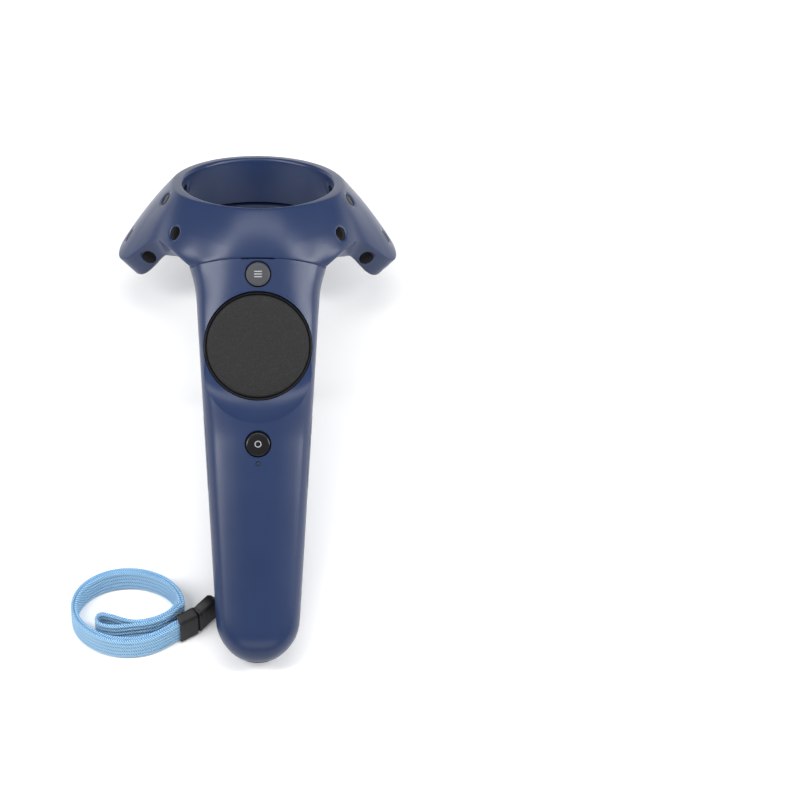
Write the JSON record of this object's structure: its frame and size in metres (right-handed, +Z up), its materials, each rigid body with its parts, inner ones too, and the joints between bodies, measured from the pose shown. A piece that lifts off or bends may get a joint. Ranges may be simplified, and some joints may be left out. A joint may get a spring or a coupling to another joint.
{
  "type": "vr motion controller",
  "caption": "Hand-held VR motion controller with a ring-shaped sensor head, tapering handle, trackpad, buttons, grips, a trigger and a wrist strap.",
  "frame": {"origin": "middle of the controller's footprint on the table, at table height; the strap is left out of the measure", "axes": "+X to the controller's right with the trackpad up, +Y from the handle's end to the sensor head, +Z up from the table"},
  "size_m": [0.1341, 0.221, 0.0745],
  "materials": {
    "blue_shell": "satin moulded navy",
    "black_plastic": "satin",
    "frame_plastic": "moulded",
    "steel": "plated",
    "circuit_board": "solder mask",
    "battery_foil": "foil",
    "antenna_brass": "plain",
    "trackpad_charcoal": "fine matt texture",
    "switch_grey": "moulded",
    "button_grey": "satin",
    "button_black": "gloss",
    "light_pipe": "clear",
    "strap_blue": "flat braided webbing",
    "strap_black": "soft moulded",
    "string_black": "braided cord"
  },
  "bodies": {
    "controller": {"head_cover": "blue_shell", "head_base": "blue_shell", "handle_front_shell": "blue_shell", "handle_back_shell": "blue_shell", "sensor_carrier": "black_plastic", "trackpad_bezel": "black_plastic", "hall_sensor": "black_plastic", "chassis": "frame_plastic", "head_screw_right": "steel", "head_screw_left": "steel", "handle_screw_lower_right": "steel", "handle_screw_lower_left": "steel", "handle_screw_upper_right": "steel", "handle_screw_upper_left": "steel", "trigger_pin": "steel", "trigger_spring": "steel", "lanyard_bar": "steel", "charging_socket": "steel", "haptic_motor": "steel", "main_board": "circuit_board", "charging_board": "circuit_board", "head_board": "circuit_board", "battery": "battery_foil", "antenna": "antenna_brass", "trackpad_switch": "switch_grey", "menu_switch": "switch_grey", "system_switch": "switch_grey", "grip_switch_left": "switch_grey", "grip_switch_right": "switch_grey", "trigger_switch": "switch_grey", "status_light_pipe": "light_pipe", "strap_webbing": "strap_blue", "strap_sleeve": "strap_black", "strap_connector": "strap_black", "string_loop": "string_black"},
    "trigger_unit": {"trigger": "black_plastic", "trigger_magnet": "steel"},
    "trackpad": {"trackpad_cap": "trackpad_charcoal", "trackpad_board": "circuit_board"},
    "menu_key": {"menu_button": "button_grey"},
    "system_key": {"system_button": "button_black"},
    "grip_left": {"grip_button_left": "blue_shell"},
    "grip_right": {"grip_button_right": "blue_shell"}
  },
  "joints": [
    {"name": "trigger_pull", "type": "hinge", "parent": "controller", "child": "trigger_unit", "pos_m": [0, 0.0325, 0.04298], "axis": [-1, 0, 0], "range_deg": [0, 16], "stiffness_Nm_per_rad": 0.08, "springref_deg": -14.32, "deforming": ["trigger_spring"]},
    {"name": "trackpad_click", "type": "slide", "parent": "controller", "child": "trackpad", "axis": [0, 0.4027, -0.9153], "range_m": [0, 0.0005], "stiffness_N_per_m": 2000, "springref_m": -0.0002},
    {"name": "menu_press", "type": "slide", "parent": "controller", "child": "menu_key", "axis": [0, 0.2982, -0.9545], "range_m": [0, 0.0005], "stiffness_N_per_m": 1500, "springref_m": -0.0002},
    {"name": "system_press", "type": "slide", "parent": "controller", "child": "system_key", "axis": [0, 0.2982, -0.9545], "range_m": [0, 0.0005], "stiffness_N_per_m": 1500, "springref_m": -0.0002},
    {"name": "grip_left_press", "type": "slide", "parent": "controller", "child": "grip_left", "axis": [1, 0, 0], "range_m": [0, 0.0009], "stiffness_N_per_m": 2500, "springref_m": -0.0002},
    {"name": "grip_right_press", "type": "slide", "parent": "controller", "child": "grip_right", "axis": [-1, 0, 0], "range_m": [0, 0.0009], "stiffness_N_per_m": 2500, "springref_m": -0.0002}
  ]
}
